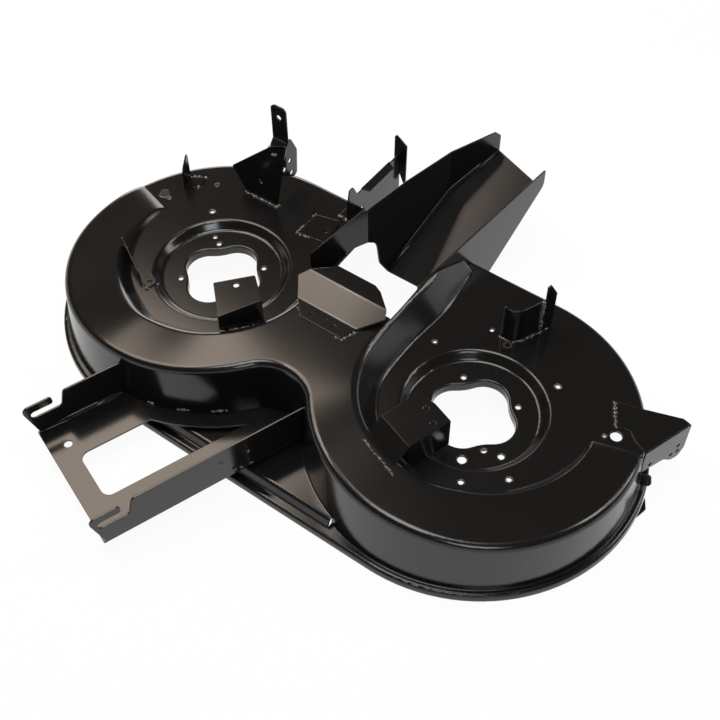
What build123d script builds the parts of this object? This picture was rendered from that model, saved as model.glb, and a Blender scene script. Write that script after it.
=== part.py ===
from build123d import *
from math import atan2, cos, radians, sin, sqrt, tan
import os

os.makedirs("parts", exist_ok=True)

# Driving sizes, mm. +X runs from the left chamber to the right one, +Y to the chute, +Z up.
# The floor plane is z = 0 and both spindle axes stand on y = 0.
spindle_spacing = 518
sheet = 3.0
thin_sheet = 2.5
skirt_foot_radius = 277.2
skirt_draft = 0.10
lip_width = 11.3
lip_height = 12
lip_round = 5
flat_height = 90
tunnel_top = 140
valley_y = -214
shelf_height = 28
shelf_front = 266
shelf_half = 172
edge_round = 11
seat = 0.25
wall_clear = 0.4

# Ring recess and spindle opening
recess_radius = 122
recess_ramp = 17
recess_depth = 14
lobe_radius = 72
dent_radius = 59.5
opening_lip = 17
opening_round = 2.6
spindle_pcd = 145
spindle_bolt_radius = 4.6

cx = spindle_spacing / 2
lip_radius = skirt_foot_radius + lip_width
recess_floor_radius = recess_radius - recess_ramp
reach = sqrt(cx**2 + valley_y**2)
foot_by_travel = [
    (-4, 187), (0, 184), (15, 176), (32, 166.6), (50, 160),
    (74, 154), (94, 152.5), (120, 153), (200, 153),
]
travel_steps = [-3, 5.5, 14, 32, 56, 80, 110, 138, 158, 176, 195.5]
tunnel_start = 164.5
hump_steps = [
    (45, 105, tunnel_top), (100, 108, tunnel_top + 1), (150, 111, tunnel_top + 4),
    (195, 106, tunnel_top + 9), (215, 103, tunnel_top + 5), (233, 101, tunnel_top - 12),
    (252, 100, flat_height - 4),
]


def wall_radius(z, inset=0):
    return skirt_foot_radius - skirt_draft * z - inset


def half_outline(z, inset):
    r = wall_radius(z, inset)
    valley = reach - r
    near = r / reach
    touch = (-cx + cx * near, valley_y * near)
    front = (radians(-90) + atan2(valley_y, cx)) / 2
    side = (atan2(touch[1] - valley_y, touch[0]) + radians(90)) / 2
    with BuildSketch(Plane.XY.offset(z)) as drawn:
        with BuildLine():
            ThreePointArc((-cx, r), (-cx - r, 0), (-cx, -r))
            ThreePointArc((-cx, -r), (-cx + r * cos(front), r * sin(front)), touch)
            ThreePointArc(
                touch, (valley * cos(side), valley_y + valley * sin(side)), (0, valley_y + valley)
            )
            Line((0, valley_y + valley), (0, r))
            Line((0, r), (-cx, r))
        make_face()
    return drawn.sketch


def half_prism(inset, low=0, high=170):
    return loft([half_outline(low, inset), half_outline(high, inset)], ruled=True)


def read_table(table, x):
    for (a, low), (b, high) in zip(table, table[1:]):
        if x <= b:
            return low + (x - a) / (b - a) * (high - low)
    return table[-1][1]


def tunnel_height(travel):
    if travel < 5:
        return flat_height + 1.25 * travel
    return min(flat_height + 5 + (tunnel_top - flat_height - 5) * travel / 150, tunnel_top)


def bend_points(px, pz, enter, leave, radius, side):
    half = (leave - enter) / 2
    run = radius * abs(tan(half))
    sag = radius * (1 / cos(half) - 1)
    mid = (enter + leave) / 2
    first = (px - run * cos(enter), pz - run * sin(enter))
    last = (px + run * cos(leave), pz + run * sin(leave))
    return first, (px - side * sag * sin(mid), pz + side * sag * cos(mid)), last


def tunnel_section(plane, foot, top, inset):
    far = 330
    high = top - inset
    base = min(flat_height - inset - 1.0, high - 1.5)
    run = 3 + 0.57 * max(high - base, 1.0)
    foot = foot + inset * 0.6
    share = min(1.0, (high - base) / 16)
    slope = atan2(high - base, run)
    lean = atan2(1.0, 30)
    foot_bend = bend_points(foot, base, lean, slope, (12 + inset) * share, 1)
    top_bend = bend_points(foot + run, high, slope, 0, (14 - inset) * share, -1)
    with BuildSketch(plane) as drawn:
        with BuildLine():
            Line((foot - 30, base - 1.0), foot_bend[0])
            ThreePointArc(*foot_bend)
            Line(foot_bend[2], top_bend[0])
            ThreePointArc(*top_bend)
            Line(top_bend[2], (far, high))
            Line((far, high), (far, -10))
            Line((far, -10), (foot - 30, -10))
            Line((foot - 30, -10), (foot - 30, base - 1.0))
        make_face()
    return drawn.sketch


def tunnel(inset):
    sections = []
    for travel in travel_steps:
        turn = radians(tunnel_start + travel)
        plane = Plane(
            origin=(-cx, 0, 0), x_dir=(cos(turn), sin(turn), 0), z_dir=(sin(turn), -cos(turn), 0)
        )
        foot = read_table(foot_by_travel, travel)
        sections.append(tunnel_section(plane, foot, tunnel_height(travel), inset))
    for y, half_width, top in hump_steps:
        plane = Plane(origin=(-cx, y, 0), x_dir=(1, 0, 0), z_dir=(0, -1, 0))
        sections.append(tunnel_section(plane, cx - half_width, top, inset))
    return loft(sections)


def on_wall(edge, inset):
    box = edge.bounding_box()
    if box.min.Z < flat_height - 8 - inset or box.max.X < -2000 or abs(edge.center().X) < 0.5:
        return False
    for share in (0.1, 0.5, 0.9):
        p = edge.position_at(share)
        r = wall_radius(p.Z, inset)
        end_miss = abs(sqrt((p.X + cx)**2 + p.Y**2) - r)
        rear_miss = abs(p.Y - r)
        valley_miss = abs(sqrt(p.X**2 + (p.Y - valley_y)**2) - (reach - r))
        if min(end_miss, rear_miss, valley_miss) > 0.2:
            return False
    return True


def pressed_form(inset):
    """the solid under one face of the sheet: inset 0 is the painted top, inset sheet the inside"""
    low = -1 if inset else 0
    top = flat_height - inset
    slab = Pos(-300, 0, low - 5) * Box(
        600, 700, top - low + 5, align=(Align.CENTER, Align.CENTER, Align.MIN)
    )
    half = half_prism(inset, low) & (slab + tunnel(inset))
    half = fillet([e for e in half.edges() if on_wall(e, inset)], edge_round - inset)
    return half + mirror(half, about=Plane.YZ)


def stadium(radius, z):
    with BuildSketch(Plane.XY.offset(z)) as drawn:
        SlotCenterToCenter(spindle_spacing, 2 * radius)
    return drawn.sketch


def shelf_form(inset):
    low = -1 if inset else 0
    front = shelf_front - inset
    top = shelf_height - inset
    with BuildPart() as made:
        with BuildSketch(Plane.YZ.offset(-shelf_half)):
            with BuildLine():
                Polyline(
                    (-front - 0.45 * (top - low), low), (-front, top), (-135, top), (-135, low),
                    close=True,
                )
            make_face()
        extrude(amount=2 * shelf_half)
        fillet(made.edges().filter_by(Axis.X).sort_by(Axis.Z)[-2:].sort_by(Axis.Y)[0], 8 - inset)
    return made.part


def lobed_face(plane, grow):
    """four round lobes joined by shallow dents on the diagonals"""
    lobe_arc = 38 + grow
    dent_arc = 77 - grow
    lobe_centre = lobe_radius - 38
    dent_centre = dent_radius + 77
    far = sqrt(
        lobe_centre**2 + dent_centre**2 - 2 * lobe_centre * dent_centre * cos(radians(45))
    )
    with BuildSketch(plane) as drawn:
        with BuildLine():
            for quarter in range(4):
                touches = []
                for turn in (-45, 45, 135):
                    own = radians(90 * quarter + (90 if turn == 135 else 0))
                    side = radians(90 * quarter + (45 if turn > 0 else -45))
                    ax, ay = lobe_centre * cos(own), lobe_centre * sin(own)
                    bx, by = dent_centre * cos(side), dent_centre * sin(side)
                    share = lobe_arc / far
                    touches.append((ax + (bx - ax) * share, ay + (by - ay) * share))
                own = radians(90 * quarter)
                side = radians(90 * quarter + 45)
                reach_out = lobe_centre + lobe_arc
                reach_in = dent_centre - dent_arc
                ThreePointArc(touches[0], (reach_out * cos(own), reach_out * sin(own)), touches[1])
                ThreePointArc(touches[1], (reach_in * cos(side), reach_in * sin(side)), touches[2])
        make_face()
    return drawn.sketch


def recess_tool(side, inset):
    """what the ring recess takes out of the form, in the frame of one spindle"""
    deep = flat_height - recess_depth - inset
    top = flat_height - inset
    steep = atan2(recess_depth, recess_radius - recess_floor_radius - 5)
    low_bend = bend_points(recess_floor_radius + 1, deep, 0, steep, 7 + inset, 1)
    high_bend = bend_points(recess_radius - 4, top, steep, 0.05, 9 - inset, -1)
    with BuildPart() as made:
        with BuildSketch(Plane.XZ):
            with BuildLine():
                Line((0, deep), low_bend[0])
                ThreePointArc(*low_bend)
                Line(low_bend[2], high_bend[0])
                ThreePointArc(*high_bend)
                Line(high_bend[2], (recess_radius + 8, top + 0.6))
                Line((recess_radius + 8, top + 0.6), (recess_radius + 8, top + 8))
                Line((recess_radius + 8, top + 8), (0, top + 8))
                Line((0, top + 8), (0, deep))
            make_face()
        revolve(axis=Axis.Z)
    return Pos(side * cx, 0, 0) * made.part


def hole_tool(x, y, radius, low=60, high=170):
    return Pos(x, y, low) * Cylinder(
        radius, high - low, align=(Align.CENTER, Align.CENTER, Align.MIN)
    )


# Chute planes, shared by the shell cut and the chute pieces
plate_front = (66, 122)
plate_rear = (107, 462)
plate_lean = (plate_rear[0] - plate_front[0]) / (plate_rear[1] - plate_front[1])
floor_front_y = 190
floor_rise = 0.30
floor_datum = (185, 52)
chute_left = -40


def plate_x(y):
    return plate_front[0] + plate_lean * (y - plate_front[1])


def floor_z(y):
    return floor_datum[1] + floor_rise * (y - floor_datum[0])


rear_cut_z = floor_z(266) - thin_sheet * 1.05 - 0.1
outer = pressed_form(0)
inner = pressed_form(sheet)
lip_outer = loft([stadium(lip_radius, 0), stadium(lip_radius - 1.5, lip_height)], ruled=True)
lip_outer = fillet(lip_outer.edges().group_by(Axis.Z)[-1], lip_round)
lip_inner = loft([stadium(lip_radius - sheet, -1), stadium(lip_radius - 1.5 - sheet, lip_height - sheet)], ruled=True)
outer_form = outer + shelf_form(0) + lip_outer
inner_form = inner + shelf_form(sheet) + lip_inner
for side in (-1, 1):
    outer_form = outer_form - recess_tool(side, 0)
    inner_form = inner_form - recess_tool(side, sheet)

spindle_lips = []
spindle_cuts = []
ring_top = flat_height - recess_depth
for side in (-1, 1):
    grown = extrude(lobed_face(Plane.XY.offset(ring_top - opening_lip), thin_sheet), opening_lip - 1)
    bored = extrude(lobed_face(Plane.XY.offset(ring_top - 30), 0), 60)
    spindle_lips.append(Pos(side * cx, 0, 0) * grown)
    spindle_cuts.append(Pos(side * cx, 0, 0) * bored)

# Holes in the flats and rings: x, y, radius
shell_holes = [
    (-cx - 207, 82, 9.4), (-cx - 192, 78, 2.6), (-cx - 143, 156, 4.2), (-cx - 104, 97, 4.5),
    (-cx - 68, 60, 4.0), (cx + 207, 82, 9.4), (cx + 192, 72, 2.6), (cx + 86, 114, 4.5),
    (cx - 125, 77, 3.5), (cx + 114, -82, 4.5), (cx + 58, -128, 4.5), (cx - 62, 153, 3.5),
    (cx + 79, -45, 5.5), (cx + 33, -85, 7.5),
]
for side in (-1, 1):
    for quarter in (45, 135, 225, 315):
        shell_holes.append((
            side * cx + spindle_pcd / 2 * cos(radians(quarter)),
            spindle_pcd / 2 * sin(radians(quarter)),
            spindle_bolt_radius,
        ))

with BuildPart() as deck_shell:
    add(outer_form)
    add(inner_form, mode=Mode.SUBTRACT)
    add(spindle_lips)
    add(spindle_cuts, mode=Mode.SUBTRACT)
    # roof opening to the chute
    with BuildSketch(Plane.XY.offset(rear_cut_z)):
        with BuildLine():
            Polyline(
                (-70, 40), (70, 40), (70, 126), (plate_x(300) + thin_sheet + 0.2, 300),
                (chute_left - thin_sheet - 0.6, 300), (chute_left - thin_sheet - 0.6, 252), (-70, 225),
                close=True,
            )
        make_face()
    extrude(amount=120, mode=Mode.SUBTRACT)
    for x, y, radius in shell_holes:
        with Locations((x, y, 60)):
            Cylinder(radius, 110, align=(Align.CENTER, Align.CENTER, Align.MIN), mode=Mode.SUBTRACT)
    # rolled edge round each lobed opening
    rolled = [
        edge for edge in deck_shell.edges()
        if abs(edge.center().Z - ring_top) < 0.02 and edge.bounding_box().size.Z < 0.02
        and 50 < sqrt((abs(edge.position_at(0).X) - cx)**2 + edge.position_at(0).Y**2) < 74
        and edge.geom_type == GeomType.CIRCLE and edge.radius > 20
    ]
    fillet(rolled, opening_round)


def rounded_face(plane, points):
    """a face from corner points x, y and an optional corner radius"""
    corners = []
    count = len(points)
    for i in range(count):
        px, py = points[i][0], points[i][1]
        radius = points[i][2] if len(points[i]) > 2 else 0
        ax, ay = points[i - 1][0] - px, points[i - 1][1] - py
        bx, by = points[(i + 1) % count][0] - px, points[(i + 1) % count][1] - py
        la, lb = sqrt(ax * ax + ay * ay), sqrt(bx * bx + by * by)
        ax, ay, bx, by = ax / la, ay / la, bx / lb, by / lb
        if radius <= 0:
            corners.append(((px, py),))
            continue
        half = atan2(abs(ax * by - ay * bx), ax * bx + ay * by) / 2
        run = min(radius / tan(half), 0.48 * la, 0.48 * lb)
        radius = run * tan(half)
        mx, my = ax + bx, ay + by
        lm = sqrt(mx * mx + my * my)
        away = radius / sin(half) - radius
        corners.append((
            (px + ax * run, py + ay * run),
            (px + mx / lm * away, py + my / lm * away),
            (px + bx * run, py + by * run),
        ))
    with BuildSketch(plane) as drawn:
        with BuildLine():
            for i in range(count):
                if len(corners[i]) == 3:
                    ThreePointArc(*corners[i])
                Line(corners[i][-1], corners[(i + 1) % count][0])
        make_face()
    return drawn.sketch


def sheet_piece(plane, points, thickness, holes=()):
    """flat sheet with rounded corners and round holes x, y, radius"""
    face = rounded_face(plane, points)
    for x, y, radius in holes:
        face = face - plane * Pos(x, y) * Circle(radius)
    return extrude(face, thickness)


def upright(start, end):
    """vertical plane: local x from start to end, local y up, normal to the right of travel"""
    dx, dy = end[0] - start[0], end[1] - start[1]
    length = sqrt(dx * dx + dy * dy)
    return Plane(
        origin=(start[0], start[1], 0), x_dir=(dx / length, dy / length, 0),
        z_dir=(dy / length, -dx / length, 0),
    )


def level(z):
    return Plane.XY.offset(z)


# What welded-on sheets are cut to: the painted face with a hair of air
wall_keep = half_prism(-wall_clear, -5)
wall_keep = wall_keep + mirror(wall_keep, about=Plane.YZ)
face_keep = Pos(0, 0, seat) * outer

# Chute channel: wing, left wall in two runs, floor ramp
bend = (chute_left - 2, 133)
kink = (-34, 375)
tip = (0, 487)
slant = sqrt(1 + floor_rise**2)
floor_plane = Plane(
    origin=(0, floor_datum[0], floor_datum[1]), x_dir=(1, 0, 0), z_dir=(0, -floor_rise, 1)
)


def on_floor(x, y, radius=0):
    return (x, (y - floor_datum[0]) * slant, radius)


wing = sheet_piece(
    upright(bend, (-101, 95)),
    [(0, 171), (0, 245), (8, 243, 6), (98, 138, 5), (98, 112), (90, 80), (60, 80), (48, 132, 12), (21.7, 157, 20)],
    thin_sheet,
) - face_keep
wall_front = sheet_piece(
    upright(bend, kink),
    [
        (0, 171), (25, 150, 40), (34, 92, 40), (58, floor_z(191) - 2.4), (242.2, floor_z(375) - 2.4),
        (242.2, 200), (107, 229, 60), (0, 245),
    ], -thin_sheet,
)
wall_rear = sheet_piece(
    upright(kink, tip),
    [(0, floor_z(375) - 2.4), (0, 200), (104, 191, 6), (117, 178, 6), (117, floor_z(487) - 2.4)], -thin_sheet,
)
chute_floor = sheet_piece(
    floor_plane,
    [
        on_floor(bend[0] - 0.5, floor_front_y), on_floor(plate_x(floor_front_y) - 0.2, floor_front_y),
        on_floor(plate_x(455) - 0.2, 455), on_floor(tip[0] - 1, tip[1]), on_floor(kink[0] - 1, kink[1]),
    ], -thin_sheet,
)

with BuildPart() as chute_channel:
    add([wing, wall_front, wall_rear, chute_floor])

chute_side_plate_sheets = []
chute_side_plate_sheets.append(sheet_piece(
    upright(plate_front, plate_rear),
    [
        (0, 130), (0, 142, 2), (342, 170, 3), (342, 139, 3), (338, 131, 3), (197, 16, 3), (157, 16, 3),
        (152, rear_cut_z + 0.4), (133, rear_cut_z + 0.4), (70, 50, 4), (40, 100, 20),
    ], thin_sheet,
))
with BuildPart() as chute_side_plate:
    add(chute_side_plate_sheets)

# Deflector plate: side profile cut to the plan outline
deflector_profile = sheet_piece(
    Plane.YZ.offset(-120),
    [
        (-60, 0.1), (-11, 0.1, 5), (34, 21.5, 6), (80, 21.5),
        (80, 24), (33.4, 24, 9), (-11.6, 2.6, 8), (-60, 2.6),
    ], 220,
)
deflector_plan = sheet_piece(
    level(-10),
    [
        (-77, -14, 5), (-53, -42, 14), (28, -42, 6), (40, -12, 2), (73, 20, 2), (66, 34, 6),
        (36, 60, 10), (21, 67, 10), (-54, 67, 4), (-88, 34, 6), (-101, 18, 2), (-80, -12, 2),
    ], 40,
    [(-38, -29, 4), (6, -29, 4), (-11, -25, 1.6)],
)
with BuildPart() as deflector_plate:
    add(Pos(0, 0, tunnel_top) * (deflector_profile & deflector_plan))

# Front hanger bracket: a folded-up channel in its own level frame, x across and y rearwards
tray_plane = Plane(origin=(-cx - 44, -414, 35), x_dir=(0.937, -0.35, 0), z_dir=(0, 0, 1))
tray_width = 244
tray_sheet = 3.0
tray_floor = sheet_piece(
    tray_plane,
    [
        (0, 0, 2), (tray_width, 0, 2), (tray_width, 355), (215, 372), (120, 300), (0, 170),
    ], tray_sheet,
    [(49, 31, 7), (199, 129, 3.2)],
)
tray_cut = sheet_piece(
    Plane(origin=(-cx - 44, -414, 20), x_dir=(0.937, -0.35, 0), z_dir=(0, 0, 1)),
    [(79, 36, 15), (174, 36, 15), (174, 330, 15), (79, 330, 15)], 40,
) - Pos(-cx, 0, 0) * Cylinder(lip_radius + 13.5, 400)


def flange(across, length):
    side_plane = Plane(
        origin=tray_plane.from_local_coords(Vector(across, 0, 0)), x_dir=(0.35, 0.937, 0),
        z_dir=(0.937, -0.35, 0),
    )
    return sheet_piece(
        side_plane,
        [
            (5, 0), (-15, 71, 10), (38, 71, 6), (38, 56, 4), (-2, 56, 6), (0, 41, 6), (50, 41, 5),
            (58, 73, 8), (length, 73), (length, 0),
        ], tray_sheet,
    )


tray = (tray_floor - tray_cut) + flange(0, 200) + flange(tray_width - tray_sheet, 372)
tray = tray - wall_keep
with BuildPart() as front_hanger_bracket:
    add(tray.solids().sort_by(SortBy.VOLUME)[-1])

# Brackets are drawn from the spindle axis of their chamber and from the height of its flats
left_flat = Pos(-cx, 0, flat_height)
right_flat = Pos(cx, 0, flat_height)
right_edge = Pos(cx + skirt_foot_radius, 0, flat_height)

# Brackets on the left chamber
left_plate_bracket_sheets = []
left_plate_bracket_sheets.append(left_flat * sheet_piece(
    level(67.5),
    [(58, -80, 3), (103, -27, 3), (147, -63, 2), (112, -132, 2)], thin_sheet, [(92, -62, 5)],
))
left_plate_bracket_sheets.append(left_flat * sheet_piece(
    upright((112, -132), (147, -63)), [(0, 2), (0, 70), (77.4, 70), (77.4, 2)], -thin_sheet,
) - face_keep)
with BuildPart() as left_plate_bracket:
    add(left_plate_bracket_sheets)

suspension_gusset_sheets = []
suspension_gusset_sheets.append(left_flat * sheet_piece(
    upright((-141, 177.5), (59, 177.5)),
    [
        (24, 48, 5), (120, 140, 4), (157, 160, 4), (124, seat, 3), (54, seat, 3),
    ], thin_sheet, [(89, 44, 5)],
))
with BuildPart() as suspension_gusset:
    add(suspension_gusset_sheets)

strap_lug_sheets = []
strap_lug_sheets.append(left_flat * (sheet_piece(
    Plane.YZ.offset(-23),
    [
        (177.8, 105), (177.8, 142, 5), (187, 153, 5), (187, 226), (190, 226), (190, 152, 6),
        (180.8, 141, 6), (180.8, 105),
    ], 32,
) & sheet_piece(
    upright((-41, 230), (59, 230)), [(18, 100, 4), (18, 225, 9), (50, 225, 9), (50, 100, 4)], 80,
    [(34, 202, 5)],
)))
with BuildPart() as strap_lug:
    add(strap_lug_sheets)

four_hole_plate_sheets = []
four_hole_plate_sheets.append(left_flat * sheet_piece(
    upright((-26, 0), (-26, 300)),
    [
        (177.8, 135), (216, 124, 6), (238, 110, 6), (252, 78, 8), (248, 16, 8), (209, 43, 6), (177.8, 60),
    ], -thin_sheet, [(231, 65, 4.5), (217, 79, 4.5), (234, 35, 4.5), (215, 55, 4.5)],
))
with BuildPart() as four_hole_plate:
    add(four_hole_plate_sheets)

rear_lift_bracket_sheets = []
rear_lift_bracket_sheets.append(left_flat * sheet_piece(
    upright((109, 0), (109, 400)),
    [
        (222, seat), (222, 30, 10), (229, 66, 5), (240, 66, 5), (252, 41), (384, 41),
        (384, -42, 8), (skirt_foot_radius + 23, -50, 8), (skirt_foot_radius - 2, -50, 4),
        (skirt_foot_radius - 7.7, -2), (skirt_foot_radius - 9.2, seat),
    ], -thin_sheet,
))
rear_lift_bracket_sheets.append(left_flat * sheet_piece(
    level(41), [(106.5, 266), (124, 270, 4), (124, 343, 4), (106.5, 353)], thin_sheet,
))
rear_lift_bracket_sheets.append(left_flat * sheet_piece(
    level(seat), [(89, 222, 4), (107, 222), (107, 250), (89, 246, 4)], thin_sheet,
))
with BuildPart() as rear_lift_bracket:
    add(rear_lift_bracket_sheets)

rear_ear_plate_sheets = []
rear_ear_plate_sheets.append(left_flat * sheet_piece(
    upright((59, 387), (159, 387)), [(37, 22, 3), (38, 83, 4), (64.5, 64, 3), (63, -38, 3)], thin_sheet,
))
with BuildPart() as rear_ear_plate:
    add(rear_ear_plate_sheets)

doubler_patch_sheets = []
doubler_patch_sheets.append(left_flat * sheet_piece(
    level(seat),
    [(55, 144, 4), (55, 198, 4), (100, 210, 4), (115, 151, 4)], thin_sheet, [(95, 176, 4.5)],
))
with BuildPart() as doubler_patch:
    add(doubler_patch_sheets)

horn_tab_sheets = []
horn_tab_sheets.append(left_flat * sheet_piece(
    level(seat),
    [(-186, 116, 1), (-169, 124, 5), (-166, 140, 6), (-171, 158, 3), (-196, 141, 3)], thin_sheet,
))
horn_tab_sheets.append(left_flat * sheet_piece(
    upright((-186.2, 114.5), (-196, 140.5)),
    [(0, seat), (-0.5, 43, 20), (22, 60, 2), (26, 61, 1.5), (27.8, 48, 20), (27.8, seat)], thin_sheet,
))
with BuildPart() as horn_tab:
    add(horn_tab_sheets)

tunnel_lug_sheets = []
tunnel_lug_sheets.append(left_flat * sheet_piece(
    upright((-166, -68), (-93, -104)), [(0, -5), (0, 37, 6), (30, 37, 5), (81, 22, 6), (81, -5)],
    thin_sheet,
) - face_keep)
tunnel_lug_sheets.append(left_flat * sheet_piece(
    level(seat), [(-95, -103), (-91, -84, 4), (-68, -90, 6), (-71, -110, 6), (-93, -106)],
    thin_sheet, [(-79, -98, 4)],
))
with BuildPart() as tunnel_lug:
    add(tunnel_lug_sheets)

# Brackets on the right chamber
leg_plane = Plane(origin=(-85, -133, 60), x_dir=(66, -22, 0), z_dir=(-660, -1980, 2442))
two_hole_bracket_sheets = []
two_hole_bracket_sheets.append(right_flat * sheet_piece(
    level(60 - thin_sheet),
    [(-85, -133, 2), (-66, -68, 8), (-34, -66, 20), (5, -80, 4), (-19, -155, 2)], thin_sheet,
    [(-38, -83, 5), (-14, -100, 5)],
))
two_hole_bracket_sheets.append(right_flat * sheet_piece(
    leg_plane, [(-3, -60), (70, -60), (69.6, 0.5), (0, 0.5)], -thin_sheet,
) - face_keep)
two_hole_bracket_sheets.append(right_flat * sheet_piece(
    upright((-19, -155), (5, -80)), [(0, -20), (0, 60), (78.7, 60), (78.7, -20)], -thin_sheet,
) - face_keep)
with BuildPart() as two_hole_bracket:
    add(two_hole_bracket_sheets)

with BuildPart() as curved_bracket:
    with BuildSketch(Plane.XY.offset(flat_height + seat)):
        with BuildLine():
            ThreePointArc((cx - 43, 151), (cx - 23, 152), (cx - 11, 165))
            Line((cx - 11, 165), (cx + 3, 198))
        trace(line_width=thin_sheet)
    extrude(amount=74)

tall_lug_sheets = []
tall_lug_sheets.append(right_flat * sheet_piece(
    upright((3, 199.5), (12, 218.5)),
    [(0, seat), (0, 106, 2), (6, 109, 3), (20, 84, 4), (20, seat)], thin_sheet,
))
with BuildPart() as tall_lug:
    add(tall_lug_sheets)

right_side_bracket_sheets = []
right_side_bracket_sheets.append(right_edge * sheet_piece(
    level(seat),
    [
        (-102.2, 140, 3), (-66.2, 149, 20), (-0.2, 171, 8), (12.8, 168, 2), (-19.2, 78, 2), (-43.2, 91, 10),
        (-58.2, 103, 12), (-77.2, 96, 3),
    ], thin_sheet,
))
right_side_bracket_sheets.append(right_edge * sheet_piece(
    upright((-19.2, 78), (12.8, 168)),
    [
        (0, 2.7), (0, -49, 4), (50, -54, 10), (68, -70, 8), (86, -75, 12), (95.5, -56, 12),
        (95.5, 2.7),
    ], thin_sheet, [(18, -40, 4), (66, -54, 4), (80, -54, 4), (78, -38, 4)],
) - wall_keep)
with BuildPart() as right_side_bracket:
    add(right_side_bracket_sheets)

skirt_tab_sheets = []
skirt_tab_sheets.append(sheet_piece(
    upright((cx + 274.5 * cos(radians(15.5)), 274.5 * sin(radians(15.5))), (cx + 300 * cos(radians(15.5)), 300 * sin(radians(15.5)))),
    [(-3, 22), (-3, 50, 2), (14, 50, 6), (18, 30, 8), (14, 22, 3)], thin_sheet,
) - wall_keep)
with BuildPart() as skirt_tab:
    add(skirt_tab_sheets)

rim_corner_tab_sheets = []
rim_corner_tab_sheets.append(sheet_piece(
    level(2), [(cx + 282, 66), (cx + 293, 47, 3), (cx + 287, 22)], thin_sheet,
) - Pos(cx, 0, 0) * Cylinder(lip_radius + 0.3, 40))
with BuildPart() as rim_corner_tab:
    add(rim_corner_tab_sheets)

with BuildPart() as weld_nuts:
    with BuildSketch(level(flat_height + seat)):
        with Locations((cx - 22, 135)):
            RegularPolygon(8.5, 6)
            Circle(4, mode=Mode.SUBTRACT)
    extrude(amount=7)

# The row's origin is the middle of the whole outline, on the floor
made = [
    deck_shell, chute_channel, chute_side_plate, deflector_plate,
    front_hanger_bracket, left_plate_bracket, suspension_gusset, strap_lug,
    four_hole_plate, rear_lift_bracket, rear_ear_plate, doubler_patch,
    horn_tab, tunnel_lug, two_hole_bracket, curved_bracket,
    tall_lug, right_side_bracket, skirt_tab, rim_corner_tab,
    weld_nuts,
]
boxes = [piece.part.bounding_box() for piece in made]
middle_x = (min(b.min.X for b in boxes) + max(b.max.X for b in boxes)) / 2
middle_y = (min(b.min.Y for b in boxes) + max(b.max.Y for b in boxes)) / 2
for piece in made:
    piece.part.move(Location((-middle_x, -middle_y, 0)))
print("middle", round(middle_x, 4), round(middle_y, 4))
print("volume", round(sum(piece.part.volume for piece in made), 1))

deck_shell.part.label = "deck_shell"
chute_channel.part.label = "chute_channel"
chute_side_plate.part.label = "chute_side_plate"
deflector_plate.part.label = "deflector_plate"
front_hanger_bracket.part.label = "front_hanger_bracket"
left_plate_bracket.part.label = "left_plate_bracket"
suspension_gusset.part.label = "suspension_gusset"
strap_lug.part.label = "strap_lug"
four_hole_plate.part.label = "four_hole_plate"
rear_lift_bracket.part.label = "rear_lift_bracket"
rear_ear_plate.part.label = "rear_ear_plate"
doubler_patch.part.label = "doubler_patch"
horn_tab.part.label = "horn_tab"
tunnel_lug.part.label = "tunnel_lug"
two_hole_bracket.part.label = "two_hole_bracket"
curved_bracket.part.label = "curved_bracket"
tall_lug.part.label = "tall_lug"
right_side_bracket.part.label = "right_side_bracket"
skirt_tab.part.label = "skirt_tab"
rim_corner_tab.part.label = "rim_corner_tab"
weld_nuts.part.label = "weld_nuts"

export_step(deck_shell.part, "parts/deck_shell.step")
export_step(chute_channel.part, "parts/chute_channel.step")
export_step(chute_side_plate.part, "parts/chute_side_plate.step")
export_step(deflector_plate.part, "parts/deflector_plate.step")
export_step(front_hanger_bracket.part, "parts/front_hanger_bracket.step")
export_step(left_plate_bracket.part, "parts/left_plate_bracket.step")
export_step(suspension_gusset.part, "parts/suspension_gusset.step")
export_step(strap_lug.part, "parts/strap_lug.step")
export_step(four_hole_plate.part, "parts/four_hole_plate.step")
export_step(rear_lift_bracket.part, "parts/rear_lift_bracket.step")
export_step(rear_ear_plate.part, "parts/rear_ear_plate.step")
export_step(doubler_patch.part, "parts/doubler_patch.step")
export_step(horn_tab.part, "parts/horn_tab.step")
export_step(tunnel_lug.part, "parts/tunnel_lug.step")
export_step(two_hole_bracket.part, "parts/two_hole_bracket.step")
export_step(curved_bracket.part, "parts/curved_bracket.step")
export_step(tall_lug.part, "parts/tall_lug.step")
export_step(right_side_bracket.part, "parts/right_side_bracket.step")
export_step(skirt_tab.part, "parts/skirt_tab.step")
export_step(rim_corner_tab.part, "parts/rim_corner_tab.step")
export_step(weld_nuts.part, "parts/weld_nuts.step")
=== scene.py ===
import math
import random
import bmesh
import bpy
from mathutils import Matrix, Vector


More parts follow.
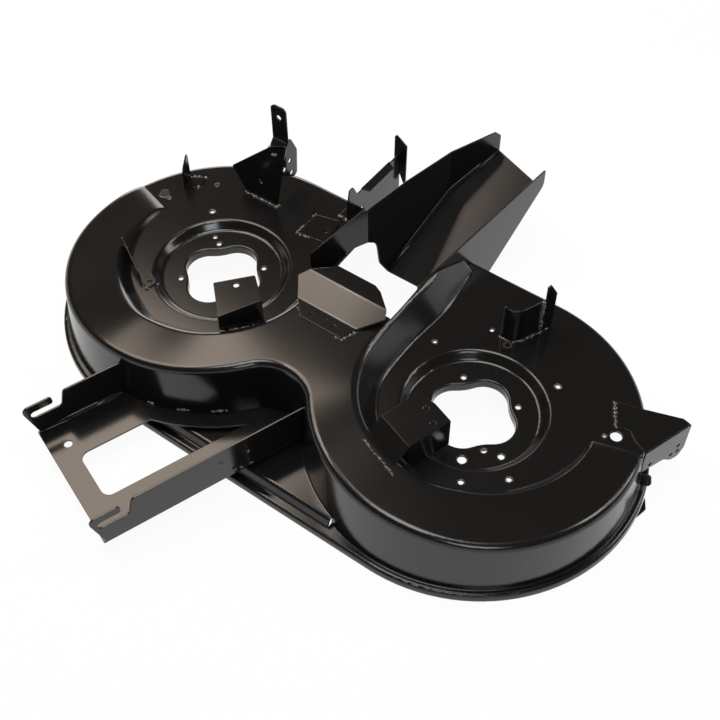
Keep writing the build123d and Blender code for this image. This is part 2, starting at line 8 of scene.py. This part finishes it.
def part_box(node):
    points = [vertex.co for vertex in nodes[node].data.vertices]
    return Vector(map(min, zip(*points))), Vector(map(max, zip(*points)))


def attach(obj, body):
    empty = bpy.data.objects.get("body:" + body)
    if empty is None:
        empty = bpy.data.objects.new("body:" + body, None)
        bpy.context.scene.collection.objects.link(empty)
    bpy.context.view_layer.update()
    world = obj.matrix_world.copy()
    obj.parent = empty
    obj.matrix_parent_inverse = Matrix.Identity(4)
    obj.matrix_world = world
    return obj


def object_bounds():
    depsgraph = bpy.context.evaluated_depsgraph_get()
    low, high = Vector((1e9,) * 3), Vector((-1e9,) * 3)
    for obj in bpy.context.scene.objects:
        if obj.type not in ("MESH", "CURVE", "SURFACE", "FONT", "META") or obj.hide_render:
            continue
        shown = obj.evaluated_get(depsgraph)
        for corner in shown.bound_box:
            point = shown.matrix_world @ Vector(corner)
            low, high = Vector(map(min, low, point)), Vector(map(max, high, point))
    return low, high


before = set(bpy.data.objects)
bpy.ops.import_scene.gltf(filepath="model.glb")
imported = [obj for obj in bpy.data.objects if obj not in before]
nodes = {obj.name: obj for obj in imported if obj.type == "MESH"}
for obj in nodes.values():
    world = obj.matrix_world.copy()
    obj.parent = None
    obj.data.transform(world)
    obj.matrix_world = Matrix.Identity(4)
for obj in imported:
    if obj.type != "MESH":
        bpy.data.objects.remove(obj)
cadLow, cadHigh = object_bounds()

# the deck shell's plan is even about the drawing's origin, so the middle of its box gives that origin
shellLow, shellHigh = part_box("deck_shell")
datum = Vector(((shellLow.x + shellHigh.x) / 2, (shellLow.y + shellHigh.y) / 2, 0))
flatHeight = 90  # millimetres from the floor to the deck's flats
rayStart = 400  # millimetres, above every piece


def place(x, y, z):  # millimetres from the drawing's origin to metres in the frame
    return Vector((x / 1000, y / 1000, z / 1000)) + datum


print("stage: frame loaded")

# paint
paintLook = {
    "baseColour": (0.006, 0.006, 0.0065, 1),
    "deckRoughness": 0.17,
    "chuteRoughness": 0.2,
    "bracketRoughness": 0.16,
    "weldRoughness": 0.16,
    "weldBump": 0.5,
    "weldColour": (0.03, 0.028, 0.026, 1),
    "weldSpecular": 1.0,
    "orangePeelScale": 420,
    "orangePeelStrength": 0.05,
    "mottleScale": 9,
    "mottleDetail": 3,
    "mottleSpread": 0.05,
    "peelDetail": 1.5,
    "peelDepth": 0.0003,
    "refraction": 1.5,
    "edgeSamples": 8,
    "deckEdge": 0.0035,
    "plateEdge": 0.0012,
}


def makePaintGroup():
    group = bpy.data.node_groups.new("paintFinish", "ShaderNodeTree")
    face = group.interface
    face.new_socket("Vector", in_out="INPUT", socket_type="NodeSocketVector")
    face.new_socket("Peel Scale", in_out="INPUT", socket_type="NodeSocketFloat")
    face.new_socket("Peel Strength", in_out="INPUT", socket_type="NodeSocketFloat")
    face.new_socket("Base Roughness", in_out="INPUT", socket_type="NodeSocketFloat")
    face.new_socket("Spread", in_out="INPUT", socket_type="NodeSocketFloat")
    face.new_socket("Edge Radius", in_out="INPUT", socket_type="NodeSocketFloat")
    face.new_socket("Roughness", in_out="OUTPUT", socket_type="NodeSocketFloat")
    face.new_socket("Normal", in_out="OUTPUT", socket_type="NodeSocketVector")
    tree = group.nodes
    link = group.links.new
    enter = tree.new("NodeGroupInput")
    leave = tree.new("NodeGroupOutput")
    peel = tree.new("ShaderNodeTexNoise")
    peel.inputs["Detail"].default_value = paintLook["peelDetail"]
    link(enter.outputs["Vector"], peel.inputs["Vector"])
    link(enter.outputs["Peel Scale"], peel.inputs["Scale"])
    bump = tree.new("ShaderNodeBump")
    bump.inputs["Distance"].default_value = paintLook["peelDepth"]
    link(enter.outputs["Peel Strength"], bump.inputs["Strength"])
    link(peel.outputs["Fac"], bump.inputs["Height"])
    soften = tree.new("ShaderNodeBevel")
    soften.samples = paintLook["edgeSamples"]
    link(enter.outputs["Edge Radius"], soften.inputs["Radius"])
    link(soften.outputs["Normal"], bump.inputs["Normal"])
    link(bump.outputs["Normal"], leave.inputs["Normal"])
    mottle = tree.new("ShaderNodeTexNoise")
    mottle.inputs["Scale"].default_value = paintLook["mottleScale"]
    mottle.inputs["Detail"].default_value = paintLook["mottleDetail"]
    link(enter.outputs["Vector"], mottle.inputs["Vector"])
    centred = tree.new("ShaderNodeMath")
    centred.operation = "SUBTRACT"
    centred.inputs[1].default_value = 0.5  # the middle of the noise
    link(mottle.outputs["Fac"], centred.inputs[0])
    spread = tree.new("ShaderNodeMath")
    spread.operation = "MULTIPLY_ADD"
    link(centred.outputs[0], spread.inputs[0])
    link(enter.outputs["Spread"], spread.inputs[1])
    link(enter.outputs["Base Roughness"], spread.inputs[2])
    link(spread.outputs[0], leave.inputs["Roughness"])
    return group


paintGroup = makePaintGroup()


def makePaint(name, roughness, peelStrength, edgeRadius):
    material = bpy.data.materials.new(name)
    material.use_nodes = True
    tree = material.node_tree.nodes
    link = material.node_tree.links.new
    shader = tree["Principled BSDF"]
    shader.inputs["Base Color"].default_value = paintLook["baseColour"]
    shader.inputs["IOR"].default_value = paintLook["refraction"]
    coords = tree.new("ShaderNodeTexCoord")
    finish = tree.new("ShaderNodeGroup")
    finish.node_tree = paintGroup
    finish.inputs["Peel Scale"].default_value = paintLook["orangePeelScale"]
    finish.inputs["Peel Strength"].default_value = peelStrength
    finish.inputs["Base Roughness"].default_value = roughness
    finish.inputs["Spread"].default_value = paintLook["mottleSpread"]
    finish.inputs["Edge Radius"].default_value = edgeRadius
    link(coords.outputs["Object"], finish.inputs["Vector"])
    link(finish.outputs["Roughness"], shader.inputs["Roughness"])
    link(finish.outputs["Normal"], shader.inputs["Normal"])
    return material


peelStrength = paintLook["orangePeelStrength"]
deckPaint = makePaint("deckPaint", paintLook["deckRoughness"], peelStrength, paintLook["deckEdge"])
chutePaint = makePaint("chutePaint", paintLook["chuteRoughness"], peelStrength, paintLook["plateEdge"])
bracketPaint = makePaint("bracketPaint", paintLook["bracketRoughness"], peelStrength, paintLook["plateEdge"])
weldPaint = makePaint("weldPaint", paintLook["weldRoughness"], paintLook["weldBump"], 0)
weldShader = weldPaint.node_tree.nodes["Principled BSDF"]
weldShader.inputs["Base Color"].default_value = paintLook["weldColour"]
weldShader.inputs["Specular IOR Level"].default_value = paintLook["weldSpecular"]


def coatOf(name):
    if name == "deck_shell":
        return deckPaint
    if name == "weld_nuts":
        return weldPaint
    return chutePaint if name.startswith("chute") else bracketPaint


for name, node in nodes.items():
    node.data.materials.clear()
    node.data.materials.append(coatOf(name))
print("stage: paint on", len(nodes), "nodes")

# weld beads: rows of overlapping blobs along each seam, sizes in millimetres
beadLook = {
    "pitch": 3.4,
    "fewest": 2,
    "width": 1.5,
    "flatten": 0.8,
    "swell": 0.4,
    "wander": 1.1,
    "ballDetail": 2,
    "seed": 7,
}
deck = nodes["deck_shell"]
deckInverse = deck.matrix_world.inverted()
dice = random.Random(beadLook["seed"])


def onDeck(x, y):  # the deck's top surface under a point
    top = place(x, y, rayStart)
    down = deckInverse.to_3x3() @ Vector((0, 0, -1))
    hit, spot = deck.ray_cast(deckInverse @ top, down)[:2]
    return deck.matrix_world @ spot if hit else place(x, y, flatHeight)


# each seam: bead radius, then the corners of its runs from the drawing's origin
flatSeams = {
    "gussetWeld": (2.7, [[(-346, 173.6), (-277, 173.6)], [(-276, 173.5), (-275, 178)]]),
    "hornWeld": (2.1, [[(-457, 142), (-431, 159)], [(-425, 128), (-424, 134)]]),
    "doublerWeld": (1.7, [
        [(-205, 142.5), (-178, 145.5)], [(-205.5, 147), (-205.5, 163)], [(-205, 192), (-205, 199)],
    ]),
    "rearLiftWeld": (2.2, [[(-170, 221), (-150, 219)]]),
    "curvedWeld": (1.8, [
        [(215, 149), (228, 148.3), (238, 150), (250.5, 164), (264, 197)], [(267, 203), (269, 207)],
    ]),
    "legWeld": (1.8, [[(173, -175.5), (210, -187), (241, -197.5)]]),
    "sideWeld": (2.6, [[(433, 139), (444, 119), (457.5, 97)]]),
    "deflectorWeld": (2.1, [[(-79, -14), (-62, -33)], [(22, -44), (32, -43), (42, -16)]]),
    "plateWeld": (2.0, [[(-144, -133.5), (-109.5, -65)]]),
    "lugWeld": (2.1, [[(-364, -95), (-356, -99)], [(-332, -112), (-327, -107)], [(-326, -94), (-328, -88)]]),
}
wallSeams = {
    "hangerWeld": (2.3, [
        [(-198, -266.5, 39.5), (-190, -264.5, 39.5)], [(-147, -249.5, 41), (-131, -241.5, 40)],
        [(-98, -221, 43), (-79, -206, 42)],
    ]),
    "flangeSpots": (1.6, [
        [(14, -264, 78), (15, -263, 78)], [(-2.2, -307, 77), (-1.8, -306, 77)],
        [(5, -288, 48), (6, -286, 47)], [(9.2, -278, 45), (10, -276, 44)], [(15, -261, 41), (16, -259, 41)],
    ]),
    "strapWeld": (2.8, [[(-274, 174, 217), (-267, 174, 218)]]),
    "rippleWeld": (2.3, [[(262, 193.5, 98), (262, 193.5, 164)]]),
}


def makeBeads(name, radius, paths):
    mesh = bmesh.new()
    for path in paths:
        for a, b in zip(path, path[1:]):
            steps = max(beadLook["fewest"], int((b - a).length * 1000 / beadLook["pitch"]))
            for k in range(steps + 1):
                jitter = Vector([dice.uniform(-1, 1) for axis in range(3)]) * beadLook["wander"] / 1000
                size = radius * beadLook["width"] / 1000 * (1 + beadLook["swell"] * dice.uniform(-1, 1))
                made = bmesh.ops.create_icosphere(mesh, subdivisions=beadLook["ballDetail"], radius=size)
                bmesh.ops.scale(mesh, vec=(1, 1, beadLook["flatten"]), verts=made["verts"])
                bmesh.ops.translate(mesh, vec=a.lerp(b, k / steps) + jitter, verts=made["verts"])
    dress(name, mesh, weldPaint)


def dress(name, mesh, material):
    for face in mesh.faces:
        face.smooth = True
    data = bpy.data.meshes.new(name)
    mesh.to_mesh(data)
    mesh.free()
    piece = bpy.data.objects.new(name, data)
    bpy.context.scene.collection.objects.link(piece)
    data.materials.append(material)
    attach(piece, "root")


for name, (radius, paths) in flatSeams.items():
    makeBeads(name, radius, [[onDeck(*p) for p in path] for path in paths])
for name, (radius, paths) in wallSeams.items():
    makeBeads(name, radius, [[place(*p) for p in path] for path in paths])
print("stage: weld beads made")

# raised burrs round the drilled holes: x, y, hole radius, and a ring of small blobs where it is 1
burrLook = {
    "section": 0.9,
    "sides": 8,
    "around": 28,
    "gap": 0.5,
    "seat": 2,
    "blobs": 11,
    "blobRadius": 1.3,
    "reach": 1.2,
    "flatten": 0.6,
    "turnSpread": (-0.4, 0.4),
    "reachSpread": (-0.3, 0.5),
    "sizeSpread": (0.7, 1.35),
    "ballDetail": 2,
}
halfSpacing = 259  # half the way between the spindles
boltCircle = 145  # diameter of the circle of four bolts round each spindle
boltReach = boltCircle / 2 * math.sqrt(0.5)
boltHole = 4.6  # radius
burrs = [
    (-halfSpacing - 104, 97, 4.5, 1), (-halfSpacing - 143, 156, 4.2, 0), (-halfSpacing - 68, 60, 4.0, 0),
    (-halfSpacing - 192, 78, 2.6, 1), (halfSpacing + 86, 114, 4.5, 1), (halfSpacing - 125, 77, 3.5, 1),
    (halfSpacing + 114, -82, 4.5, 1), (halfSpacing + 58, -128, 4.5, 0), (halfSpacing + 79, -45, 5.5, 0),
    (halfSpacing + 33, -85, 7.5, 0), (halfSpacing + 192, 72, 2.6, 1),
]
burrs += [
    (side * halfSpacing + boltReach * across, boltReach * along, boltHole, 0)
    for side in (-1, 1) for across in (-1, 1) for along in (-1, 1)
]
burrMesh = bmesh.new()
for x, y, radius, ringed in burrs:
    middle = onDeck(x + radius + burrLook["seat"], y)
    middle.x = place(x, y, 0).x
    rim = middle + Vector(((radius + burrLook["gap"]) / 1000, 0, 0))
    edge = bmesh.ops.create_circle(
        burrMesh, segments=burrLook["sides"], radius=burrLook["section"] / 1000,
        matrix=Matrix.Translation(rim) @ Matrix.Rotation(math.pi / 2, 4, "X"),
    )
    ring = edge["verts"] + list(dict.fromkeys(link for vert in edge["verts"] for link in vert.link_edges))
    bmesh.ops.spin(
        burrMesh, geom=ring, cent=middle, axis=(0, 0, 1), angle=2 * math.pi,
        steps=burrLook["around"], use_merge=True,
    )
    for k in range(burrLook["blobs"] if ringed else 0):
        turn = 2 * math.pi * (k + dice.uniform(*burrLook["turnSpread"])) / burrLook["blobs"]
        reach = (radius + burrLook["reach"] + dice.uniform(*burrLook["reachSpread"])) / 1000
        spot = middle + Vector((reach * math.cos(turn), reach * math.sin(turn), 0))
        size = burrLook["blobRadius"] * dice.uniform(*burrLook["sizeSpread"]) / 1000
        blob = bmesh.ops.create_icosphere(burrMesh, subdivisions=burrLook["ballDetail"], radius=size)
        bmesh.ops.scale(burrMesh, vec=(1, 1, burrLook["flatten"]), verts=blob["verts"])
        bmesh.ops.translate(burrMesh, vec=spot, verts=blob["verts"])
dress("holeBurrs", burrMesh, weldPaint)
print("stage: burrs made")

# rounded inner folds of the chute and the hanger channel, sizes in millimetres
foldLook = {
    "radius": 6,
    "steps": 6,
    "stepIn": 8,
    "stepUp": 30,
    "chuteMiddle": 45,
    "chuteHeight": 60,
    "chuteFront": 185,
    "chuteRise": 0.3,
    "chuteStations": (193, 255, 315, 372, 379, 430, 482),
    "hangerCorner": (-300, -415, 50),
    "hangerAlong": (0.35, 0.937, 0),
    "hangerInset": 50,
    "hangerStations": (8, 60, 100, 140),
}


def corner(node, start, towards):  # where a wall, met from a point towards it, stands on its floor
    inverse = node.matrix_world.inverted()
    turn = inverse.to_3x3()
    wall = node.ray_cast(inverse @ start, turn @ towards)[1]
    stepIn, stepUp = foldLook["stepIn"] / 1000, foldLook["stepUp"] / 1000
    inside = wall - turn @ towards * stepIn + turn @ Vector((0, 0, stepUp))
    ground = node.ray_cast(inside, turn @ Vector((0, 0, -1)))[1]
    wall, ground = node.matrix_world @ wall, node.matrix_world @ ground
    return Vector((wall.x, wall.y, ground.z))


def inChute(y):  # a point over the chute's floor
    height = foldLook["chuteHeight"] + foldLook["chuteRise"] * (y - foldLook["chuteFront"])
    return place(foldLook["chuteMiddle"], y, height)


hangerAlong = Vector(foldLook["hangerAlong"]).normalized()
hangerOut = Vector((-hangerAlong.y, hangerAlong.x, 0))
hangerInside = place(*foldLook["hangerCorner"]) - hangerOut * foldLook["hangerInset"] / 1000
chuteLine = [
    corner(nodes["chute_channel"], inChute(y), Vector((-1, 0, 0)))
    for y in foldLook["chuteStations"]
]
hangerLine = [
    corner(nodes["front_hanger_bracket"], hangerInside + hangerAlong * run / 1000, hangerOut)
    for run in foldLook["hangerStations"]
]


def makeFold(name, line, coat):
    mesh = bmesh.new()
    rise = Vector((0, 0, 1))
    before, after = line[:1] + line[:-1], line[1:] + line[-1:]
    sides = [(ahead - behind).cross(rise).normalized() for behind, ahead in zip(before, after)]
    size = foldLook["radius"] / 1000
    turns = [math.pi / 2 * k / foldLook["steps"] for k in range(foldLook["steps"] + 1)]
    profile = [(0.0, 0.0)] + [(size * (1 - math.sin(t)), size * (1 - math.cos(t))) for t in reversed(turns)]
    rows = [
        [mesh.verts.new(point + across * u + rise * v) for u, v in profile]
        for point, across in zip(line, sides)
    ]
    for one, other in zip(rows, rows[1:]):
        loops = [
            mesh.edges.get((row[k], row[k - 1])) or mesh.edges.new((row[k], row[k - 1]))
            for row in (one, other) for k in range(len(profile))
        ]
        bmesh.ops.bridge_loops(mesh, edges=loops)
    bmesh.ops.contextual_create(mesh, geom=rows[0])
    bmesh.ops.contextual_create(mesh, geom=rows[-1])
    bmesh.ops.recalc_face_normals(mesh, faces=mesh.faces)
    dress(name, mesh, coat)


makeFold("chuteFold", chuteLine, chutePaint)
makeFold("hangerFold", hangerLine, bracketPaint)
print("stage: folds made")

# floor: paper that stays white to the camera and in the gloss, with a faint shadow
floorLook = {"size": 14, "drop": 0.0005, "colour": (0.86, 0.86, 0.86, 1), "roughness": 0.9, "glow": 0.94}
floorMesh = bmesh.new()
bmesh.ops.create_grid(floorMesh, x_segments=1, y_segments=1, size=floorLook["size"] / 2)
floorData = bpy.data.meshes.new("studioFloor")
floorMesh.to_mesh(floorData)
floorMesh.free()
floor = bpy.data.objects.new("studioFloor", floorData)
floor.location = (0, 0, cadLow.z - floorLook["drop"])
bpy.context.scene.collection.objects.link(floor)
floorMaterial = bpy.data.materials.new("studioPaper")
floorMaterial.use_nodes = True
floorTree = floorMaterial.node_tree
floorShader = floorTree.nodes["Principled BSDF"]
floorShader.inputs["Base Color"].default_value = floorLook["colour"]
floorShader.inputs["Roughness"].default_value = floorLook["roughness"]
floorShader.inputs["Specular IOR Level"].default_value = 0.0
floorData.materials.append(floorMaterial)
lightPath = floorTree.nodes.new("ShaderNodeLightPath")
cameraOrGloss = floorTree.nodes.new("ShaderNodeMath")
cameraOrGloss.operation = "MAXIMUM"
floorTree.links.new(lightPath.outputs["Is Camera Ray"], cameraOrGloss.inputs[0])
floorTree.links.new(lightPath.outputs["Is Glossy Ray"], cameraOrGloss.inputs[1])
seen = floorTree.nodes.new("ShaderNodeMath")
seen.operation = "MAXIMUM"
floorTree.links.new(cameraOrGloss.outputs[0], seen.inputs[0])
floorTree.links.new(lightPath.outputs["Is Transmission Ray"], seen.inputs[1])
share = floorTree.nodes.new("ShaderNodeMath")
share.operation = "MULTIPLY"
share.inputs[1].default_value = floorLook["glow"]
floorTree.links.new(seen.outputs[0], share.inputs[0])
white = floorTree.nodes.new("ShaderNodeEmission")
blendWhite = floorTree.nodes.new("ShaderNodeMixShader")
floorTree.links.new(share.outputs[0], blendWhite.inputs["Fac"])
floorTree.links.new(floorShader.outputs["BSDF"], blendWhite.inputs[1])
floorTree.links.new(white.outputs["Emission"], blendWhite.inputs[2])
floorTree.links.new(blendWhite.outputs["Shader"], floorTree.nodes["Material Output"].inputs["Surface"])

# studio lights, metres and watts: four panels overhead, one at the right front, one behind each end
lamps = {
    "ceilingPanel": {
        "at": (-1.6, 0.2, 2.5), "to": (-1.6, 0.2, 0),
        "size": (1.3, 2.1), "power": 50, "tint": (1, 0.84, 0.7),
    },
    "ceilingTube": {
        "at": (-1.0, 0.0, 2.45), "to": (-1.0, 0.0, 0),
        "size": (0.15, 0.8), "power": 4, "tint": (0.93, 0.97, 1),
    },
    "frontPanel": {
        "at": (0.05, -0.1, 2.5), "to": (0.05, -0.1, 0),
        "size": (1.0, 1.4), "power": 31, "tint": (1, 0.97, 0.92),
    },
    "windowPanel": {
        "at": (1.6, -1.35, 1.9), "to": (0, 0, 0.1),
        "size": (0.8, 0.7), "power": 13, "tint": (0.84, 0.93, 1),
    },
    "rearCeiling": {
        "at": (1.35, 1.5, 2.45), "to": (1.35, 1.5, 0),
        "size": (0.9, 0.5), "power": 13, "tint": (1, 0.96, 0.9),
    },
    "backLeftPanel": {
        "at": (-1.9, 1.9, 0.7), "to": (0, 0, 0.1),
        "size": (1.5, 0.9), "power": 19, "tint": (1, 0.97, 0.93),
    },
    "backRightPanel": {
        "at": (1.9, 1.9, 1.6), "to": (0, 0, 0.1),
        "size": (0.6, 1.2), "power": 14, "tint": (1, 0.95, 0.88),
    },
}
for name, lamp in lamps.items():
    light = bpy.data.lights.new(name, "AREA")
    light.shape = "RECTANGLE"
    light.size, light.size_y = lamp["size"]
    light.energy = lamp["power"]
    light.color = lamp["tint"]
    lampObject = bpy.data.objects.new(name, light)
    lampObject.location = lamp["at"]
    aim = Vector(lamp["to"]) - Vector(lamp["at"])
    lampObject.rotation_euler = aim.to_track_quat("-Z", "Y").to_euler()
    bpy.context.scene.collection.objects.link(lampObject)

# room: white near the horizon, dim overhead
roomLook = {"horizon": (1, 1, 1, 1), "overhead": (0.085, 0.067, 0.049, 1), "fadeStart": 0.05, "fadeEnd": 0.3}
world = bpy.data.worlds.new("studioWorld")
bpy.context.scene.world = world
world.use_nodes = True
worldTree = world.node_tree
background = worldTree.nodes["Background"]
background.inputs["Strength"].default_value = 1.0
sky = worldTree.nodes.new("ShaderNodeTexCoord")
split = worldTree.nodes.new("ShaderNodeSeparateXYZ")
worldTree.links.new(sky.outputs["Generated"], split.inputs["Vector"])
fade = worldTree.nodes.new("ShaderNodeValToRGB")
fade.color_ramp.interpolation = "EASE"
fade.color_ramp.elements[0].position = roomLook["fadeStart"]
fade.color_ramp.elements[0].color = roomLook["horizon"]
fade.color_ramp.elements[1].position = roomLook["fadeEnd"]
fade.color_ramp.elements[1].color = roomLook["overhead"]
worldTree.links.new(split.outputs["Z"], fade.inputs["Fac"])
worldTree.links.new(fade.outputs["Color"], background.inputs["Color"])
print("stage: lights set")

# camera, fitted to the photograph: degrees and millimetres
view = {
    "azimuth": 36.43,
    "elevation": 51.325,
    "roll": -0.627,
    "distance": 1907.3,
    "target": (51.3, -19.2, 79.5),
    "lens": 58.25,
    "sensor": 36,
}
azimuth, elevation = math.radians(view["azimuth"]), math.radians(view["elevation"])
back = Vector((
    math.sin(azimuth) * math.cos(elevation), -math.cos(azimuth) * math.cos(elevation), math.sin(elevation),
))
right = (-back).cross(Vector((0, 0, 1))).normalized()
up = right.cross(-back)
roll = math.radians(view["roll"])
rolledRight = math.cos(roll) * right + math.sin(roll) * up
rolledUp = -math.sin(roll) * right + math.cos(roll) * up
target = place(*view["target"])
camera = bpy.data.objects.new("camera", bpy.data.cameras.new("camera"))
camera.data.lens = view["lens"]
camera.data.sensor_width = view["sensor"]
camera.matrix_world = Matrix.Translation(target + back * view["distance"] / 1000) @ Matrix(
    (rolledRight, rolledUp, back)
).transposed().to_4x4()
bpy.context.scene.collection.objects.link(camera)
bpy.context.scene.camera = camera
bpy.context.scene.view_settings.view_transform = "Standard"
print("stage: camera set")
